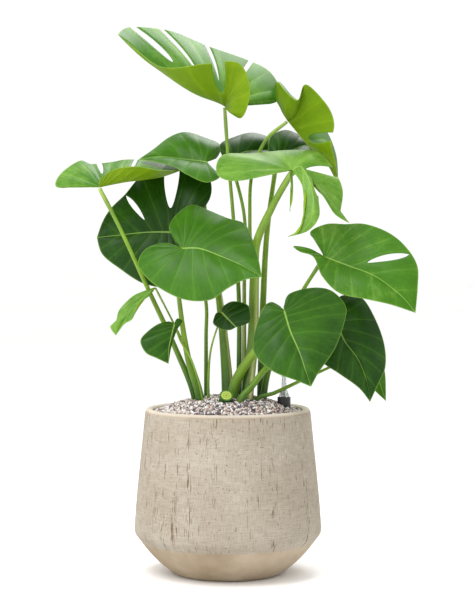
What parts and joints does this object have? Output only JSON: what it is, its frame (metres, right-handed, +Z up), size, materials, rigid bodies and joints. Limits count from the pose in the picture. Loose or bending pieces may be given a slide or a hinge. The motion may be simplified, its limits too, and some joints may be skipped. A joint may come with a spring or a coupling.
{
  "type": "potted monstera plant",
  "caption": "Potted monstera with split and heart-shaped leaves on long stalks, in a tapered stone-look planter topped with granulate and a water gauge.",
  "frame": {"origin": "centre of the planter's flat resting face, on the floor", "axes": "+Z up along the planter's axis, -Y towards the front, where the front heart-shaped leaf faces, +X to the right seen from the front"},
  "size_m": [0.6485, 0.34, 1.0028],
  "materials": {
    "planter_clay": "matt, brushed and pitted stone look",
    "granulate": "loose rough granules, black, grey, white and pink",
    "soil": "matt crumbly potting soil and roots",
    "leaf": "smooth leathery, soft gloss on the upper side",
    "stalk": "smooth, slightly waxy",
    "black_plastic": "moulded, satin",
    "clear_plastic": "clear moulded plastic, slightly milky"
  },
  "bodies": {
    "root": {"planter": "planter_clay", "granulate": "granulate", "root_ball": "soil", "leaf_top": "leaf", "stalk_top": "stalk", "leaf_upper_right": "leaf", "stalk_upper_right": "stalk", "leaf_far_left": "leaf", "stalk_far_left": "stalk", "leaf_back_left": "leaf", "stalk_back_left": "stalk", "leaf_fingered": "leaf", "stalk_fingered": "stalk", "leaf_left_round": "leaf", "stalk_left_round": "stalk", "leaf_front_heart": "leaf", "stalk_front_heart": "stalk", "leaf_right_wide": "leaf", "stalk_right_wide": "stalk", "leaf_right_heart": "leaf", "stalk_right_heart": "stalk", "leaf_right_back": "leaf", "stalk_right_back": "stalk", "leaf_right_hidden": "leaf", "stalk_right_hidden": "stalk", "leaf_left_curled": "leaf", "stalk_left_curled": "stalk", "leaf_left_small": "leaf", "stalk_left_small": "stalk", "leaf_centre_small": "leaf", "stalk_centre_small": "stalk", "leaf_back_right": "leaf", "stalk_back_right": "stalk", "leaf_back_centre": "leaf", "stalk_back_centre": "stalk", "cut_stalk_stump": "stalk", "gauge_collar": "black_plastic", "gauge_window": "clear_plastic", "gauge_shaft": "black_plastic", "gauge_float": "black_plastic"}
  },
  "joints": []
}
